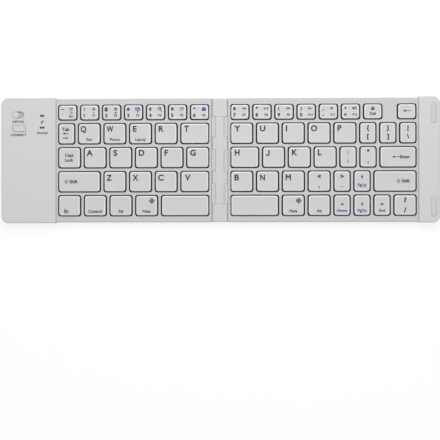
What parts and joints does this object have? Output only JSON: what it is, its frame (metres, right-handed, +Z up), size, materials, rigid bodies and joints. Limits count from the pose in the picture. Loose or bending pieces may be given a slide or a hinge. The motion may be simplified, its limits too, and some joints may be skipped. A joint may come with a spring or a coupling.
{
  "type": "folding keyboard",
  "caption": "Slim wireless keyboard in two halves that fold shut on a spine with two hinge axes; low sprung keys between raised ends that meet when it is shut.",
  "frame": {"origin": "On the table, under the middle of the spine", "axes": "+X to the right along the key rows, +Y away from the user, +Z up"},
  "size_m": [0.288, 0.0824, 0.0089],
  "materials": {
    "case_plastic": "fine-grained moulded plastic",
    "deck_plastic": "fine-grained moulded plastic",
    "key_plastic": "satin key caps with printed legends",
    "plate_steel": "pressed sheet steel",
    "pin_steel": "plain steel",
    "membrane_film": "printed polyester film",
    "dome_rubber": "moulded silicone sheet",
    "foot_rubber": "soft rubber",
    "bumper_rubber": "soft rubber in the housing colour",
    "battery_foil": "laminated foil pouch",
    "board_laminate": "solder-masked laminate",
    "light_pipe": "milky clear plastic",
    "cable_film": "polyimide film",
    "legend_black": "legends printed in dark ink",
    "legend_blue": "second legends printed in blue ink"
  },
  "bodies": {
    "left_half": {"left_wing_cover": "case_plastic", "left_key_deck": "deck_plastic", "left_bottom_case": "case_plastic", "left_switch_plate": "plate_steel", "left_membrane": "membrane_film", "left_rubber_domes": "dome_rubber", "left_feet": "foot_rubber", "left_screws": "pin_steel", "battery": "battery_foil", "main_board": "board_laminate", "usb_socket": "pin_steel", "status_lights": "light_pipe"},
    "spine": {"hinge_spine": "deck_plastic", "spine_cover": "case_plastic", "hinge_pins": "pin_steel", "flex_cable": "cable_film"},
    "right_half": {"right_wing_cover": "case_plastic", "right_key_deck": "deck_plastic", "right_bottom_case": "case_plastic", "right_switch_plate": "plate_steel", "right_membrane": "membrane_film", "right_rubber_domes": "dome_rubber", "right_feet": "foot_rubber", "right_screws": "pin_steel", "end_bumpers": "bumper_rubber"},
    "power_switch": {"power_switch_knob": "key_plastic"},
    "connect_button": {"connect_button": "key_plastic"},
    "cap_q": {"key_q": "key_plastic"},
    "cap_w": {"key_w": "key_plastic"},
    "cap_e": {"key_e": "key_plastic"},
    "cap_r": {"key_r": "key_plastic"},
    "cap_t": {"key_t": "key_plastic"},
    "cap_a": {"key_a": "key_plastic"},
    "cap_s": {"key_s": "key_plastic"},
    "cap_d": {"key_d": "key_plastic"},
    "cap_f": {"key_f": "key_plastic"},
    "cap_g": {"key_g": "key_plastic"},
    "cap_z": {"key_z": "key_plastic"},
    "cap_x": {"key_x": "key_plastic"},
    "cap_c": {"key_c": "key_plastic"},
    "cap_v": {"key_v": "key_plastic"},
    "cap_left_space": {"key_left_space": "key_plastic"},
    "cap_y": {"key_y": "key_plastic"},
    "cap_u": {"key_u": "key_plastic"},
    "cap_i": {"key_i": "key_plastic"},
    "cap_o": {"key_o": "key_plastic"},
    "cap_p": {"key_p": "key_plastic"},
    "cap_h": {"key_h": "key_plastic"},
    "cap_j": {"key_j": "key_plastic"},
    "cap_k": {"key_k": "key_plastic"},
    "cap_l": {"key_l": "key_plastic"},
    "cap_enter": {"key_enter": "key_plastic"},
    "cap_b": {"key_b": "key_plastic"},
    "cap_n": {"key_n": "key_plastic"},
    "cap_m": {"key_m": "key_plastic"},
    "cap_right_space": {"key_right_space": "key_plastic"},
    "cap_left_number": {"left_number_keys": "key_plastic"},
    "cap_left_modifier": {"left_modifier_keys": "key_plastic"},
    "cap_right_number": {"right_number_keys": "key_plastic"},
    "cap_right_side": {"right_side_keys": "key_plastic"}
  },
  "joints": [
    {"name": "connect_press", "type": "slide", "parent": "left_half", "child": "connect_button", "axis": [0, 0, -1], "range_m": [0, 0.0004], "stiffness_N_per_m": 300, "springref_m": -0.0001},
    {"name": "fold_left", "type": "hinge", "parent": "left_half", "child": "spine", "pos_m": [-0.004, 0, 0.00475], "axis": [0, -1, 0], "range_deg": [0, 90]},
    {"name": "fold_right", "type": "hinge", "parent": "spine", "child": "right_half", "pos_m": [0.004, 0, 0.00475], "axis": [0, -1, 0], "range_deg": [0, 90]},
    {"name": "on_off_slide", "type": "slide", "parent": "left_half", "child": "power_switch", "axis": [1, 0, 0], "range_m": [0, 0.003]},
    {"name": "press_q", "type": "slide", "parent": "left_half", "child": "cap_q", "axis": [0, 0, -1], "range_m": [0, 0.0014], "stiffness_N_per_m": 200, "springref_m": -0.0003, "deforming": ["left_rubber_domes"]},
    {"name": "press_w", "type": "slide", "parent": "left_half", "child": "cap_w", "axis": [0, 0, -1], "range_m": [0, 0.0014], "stiffness_N_per_m": 200, "springref_m": -0.0003, "deforming": ["left_rubber_domes"]},
    {"name": "press_e", "type": "slide", "parent": "left_half", "child": "cap_e", "axis": [0, 0, -1], "range_m": [0, 0.0014], "stiffness_N_per_m": 200, "springref_m": -0.0003, "deforming": ["left_rubber_domes"]},
    {"name": "press_r", "type": "slide", "parent": "left_half", "child": "cap_r", "axis": [0, 0, -1], "range_m": [0, 0.0014], "stiffness_N_per_m": 200, "springref_m": -0.0003, "deforming": ["left_rubber_domes"]},
    {"name": "press_t", "type": "slide", "parent": "left_half", "child": "cap_t", "axis": [0, 0, -1], "range_m": [0, 0.0014], "stiffness_N_per_m": 200, "springref_m": -0.0003, "deforming": ["left_rubber_domes"]},
    {"name": "press_a", "type": "slide", "parent": "left_half", "child": "cap_a", "axis": [0, 0, -1], "range_m": [0, 0.0014], "stiffness_N_per_m": 200, "springref_m": -0.0003, "deforming": ["left_rubber_domes"]},
    {"name": "press_s", "type": "slide", "parent": "left_half", "child": "cap_s", "axis": [0, 0, -1], "range_m": [0, 0.0014], "stiffness_N_per_m": 200, "springref_m": -0.0003, "deforming": ["left_rubber_domes"]},
    {"name": "press_d", "type": "slide", "parent": "left_half", "child": "cap_d", "axis": [0, 0, -1], "range_m": [0, 0.0014], "stiffness_N_per_m": 200, "springref_m": -0.0003, "deforming": ["left_rubber_domes"]},
    {"name": "press_f", "type": "slide", "parent": "left_half", "child": "cap_f", "axis": [0, 0, -1], "range_m": [0, 0.0014], "stiffness_N_per_m": 200, "springref_m": -0.0003, "deforming": ["left_rubber_domes"]},
    {"name": "press_g", "type": "slide", "parent": "left_half", "child": "cap_g", "axis": [0, 0, -1], "range_m": [0, 0.0014], "stiffness_N_per_m": 200, "springref_m": -0.0003, "deforming": ["left_rubber_domes"]},
    {"name": "press_z", "type": "slide", "parent": "left_half", "child": "cap_z", "axis": [0, 0, -1], "range_m": [0, 0.0014], "stiffness_N_per_m": 200, "springref_m": -0.0003, "deforming": ["left_rubber_domes"]},
    {"name": "press_x", "type": "slide", "parent": "left_half", "child": "cap_x", "axis": [0, 0, -1], "range_m": [0, 0.0014], "stiffness_N_per_m": 200, "springref_m": -0.0003, "deforming": ["left_rubber_domes"]},
    {"name": "press_c", "type": "slide", "parent": "left_half", "child": "cap_c", "axis": [0, 0, -1], "range_m": [0, 0.0014], "stiffness_N_per_m": 200, "springref_m": -0.0003, "deforming": ["left_rubber_domes"]},
    {"name": "press_v", "type": "slide", "parent": "left_half", "child": "cap_v", "axis": [0, 0, -1], "range_m": [0, 0.0014], "stiffness_N_per_m": 200, "springref_m": -0.0003, "deforming": ["left_rubber_domes"]},
    {"name": "press_left_space", "type": "slide", "parent": "left_half", "child": "cap_left_space", "axis": [0, 0, -1], "range_m": [0, 0.0014], "stiffness_N_per_m": 200, "springref_m": -0.0003, "deforming": ["left_rubber_domes"]},
    {"name": "press_y", "type": "slide", "parent": "right_half", "child": "cap_y", "axis": [0, 0, -1], "range_m": [0, 0.0014], "stiffness_N_per_m": 200, "springref_m": -0.0003, "deforming": ["right_rubber_domes"]},
    {"name": "press_u", "type": "slide", "parent": "right_half", "child": "cap_u", "axis": [0, 0, -1], "range_m": [0, 0.0014], "stiffness_N_per_m": 200, "springref_m": -0.0003, "deforming": ["right_rubber_domes"]},
    {"name": "press_i", "type": "slide", "parent": "right_half", "child": "cap_i", "axis": [0, 0, -1], "range_m": [0, 0.0014], "stiffness_N_per_m": 200, "springref_m": -0.0003, "deforming": ["right_rubber_domes"]},
    {"name": "press_o", "type": "slide", "parent": "right_half", "child": "cap_o", "axis": [0, 0, -1], "range_m": [0, 0.0014], "stiffness_N_per_m": 200, "springref_m": -0.0003, "deforming": ["right_rubber_domes"]},
    {"name": "press_p", "type": "slide", "parent": "right_half", "child": "cap_p", "axis": [0, 0, -1], "range_m": [0, 0.0014], "stiffness_N_per_m": 200, "springref_m": -0.0003, "deforming": ["right_rubber_domes"]},
    {"name": "press_h", "type": "slide", "parent": "right_half", "child": "cap_h", "axis": [0, 0, -1], "range_m": [0, 0.0014], "stiffness_N_per_m": 200, "springref_m": -0.0003, "deforming": ["right_rubber_domes"]},
    {"name": "press_j", "type": "slide", "parent": "right_half", "child": "cap_j", "axis": [0, 0, -1], "range_m": [0, 0.0014], "stiffness_N_per_m": 200, "springref_m": -0.0003, "deforming": ["right_rubber_domes"]},
    {"name": "press_k", "type": "slide", "parent": "right_half", "child": "cap_k", "axis": [0, 0, -1], "range_m": [0, 0.0014], "stiffness_N_per_m": 200, "springref_m": -0.0003, "deforming": ["right_rubber_domes"]},
    {"name": "press_l", "type": "slide", "parent": "right_half", "child": "cap_l", "axis": [0, 0, -1], "range_m": [0, 0.0014], "stiffness_N_per_m": 200, "springref_m": -0.0003, "deforming": ["right_rubber_domes"]},
    {"name": "press_enter", "type": "slide", "parent": "right_half", "child": "cap_enter", "axis": [0, 0, -1], "range_m": [0, 0.0014], "stiffness_N_per_m": 200, "springref_m": -0.0003, "deforming": ["right_rubber_domes"]},
    {"name": "press_b", "type": "slide", "parent": "right_half", "child": "cap_b", "axis": [0, 0, -1], "range_m": [0, 0.0014], "stiffness_N_per_m": 200, "springref_m": -0.0003, "deforming": ["right_rubber_domes"]},
    {"name": "press_n", "type": "slide", "parent": "right_half", "child": "cap_n", "axis": [0, 0, -1], "range_m": [0, 0.0014], "stiffness_N_per_m": 200, "springref_m": -0.0003, "deforming": ["right_rubber_domes"]},
    {"name": "press_m", "type": "slide", "parent": "right_half", "child": "cap_m", "axis": [0, 0, -1], "range_m": [0, 0.0014], "stiffness_N_per_m": 200, "springref_m": -0.0003, "deforming": ["right_rubber_domes"]},
    {"name": "press_right_space", "type": "slide", "parent": "right_half", "child": "cap_right_space", "axis": [0, 0, -1], "range_m": [0, 0.0014], "stiffness_N_per_m": 200, "springref_m": -0.0003, "deforming": ["right_rubber_domes"]},
    {"name": "press_left_number", "type": "slide", "parent": "left_half", "child": "cap_left_number", "axis": [0, 0, -1], "range_m": [0, 0.0014], "stiffness_N_per_m": 1400, "springref_m": -0.0003, "deforming": ["left_rubber_domes"]},
    {"name": "press_left_modifier", "type": "slide", "parent": "left_half", "child": "cap_left_modifier", "axis": [0, 0, -1], "range_m": [0, 0.0014], "stiffness_N_per_m": 1400, "springref_m": -0.0003, "deforming": ["left_rubber_domes"]},
    {"name": "press_right_number", "type": "slide", "parent": "right_half", "child": "cap_right_number", "axis": [0, 0, -1], "range_m": [0, 0.0014], "stiffness_N_per_m": 1600, "springref_m": -0.0003, "deforming": ["right_rubber_domes"]},
    {"name": "press_right_side", "type": "slide", "parent": "right_half", "child": "cap_right_side", "axis": [0, 0, -1], "range_m": [0, 0.0014], "stiffness_N_per_m": 3000, "springref_m": -0.0003, "deforming": ["right_rubber_domes"]}
  ]
}
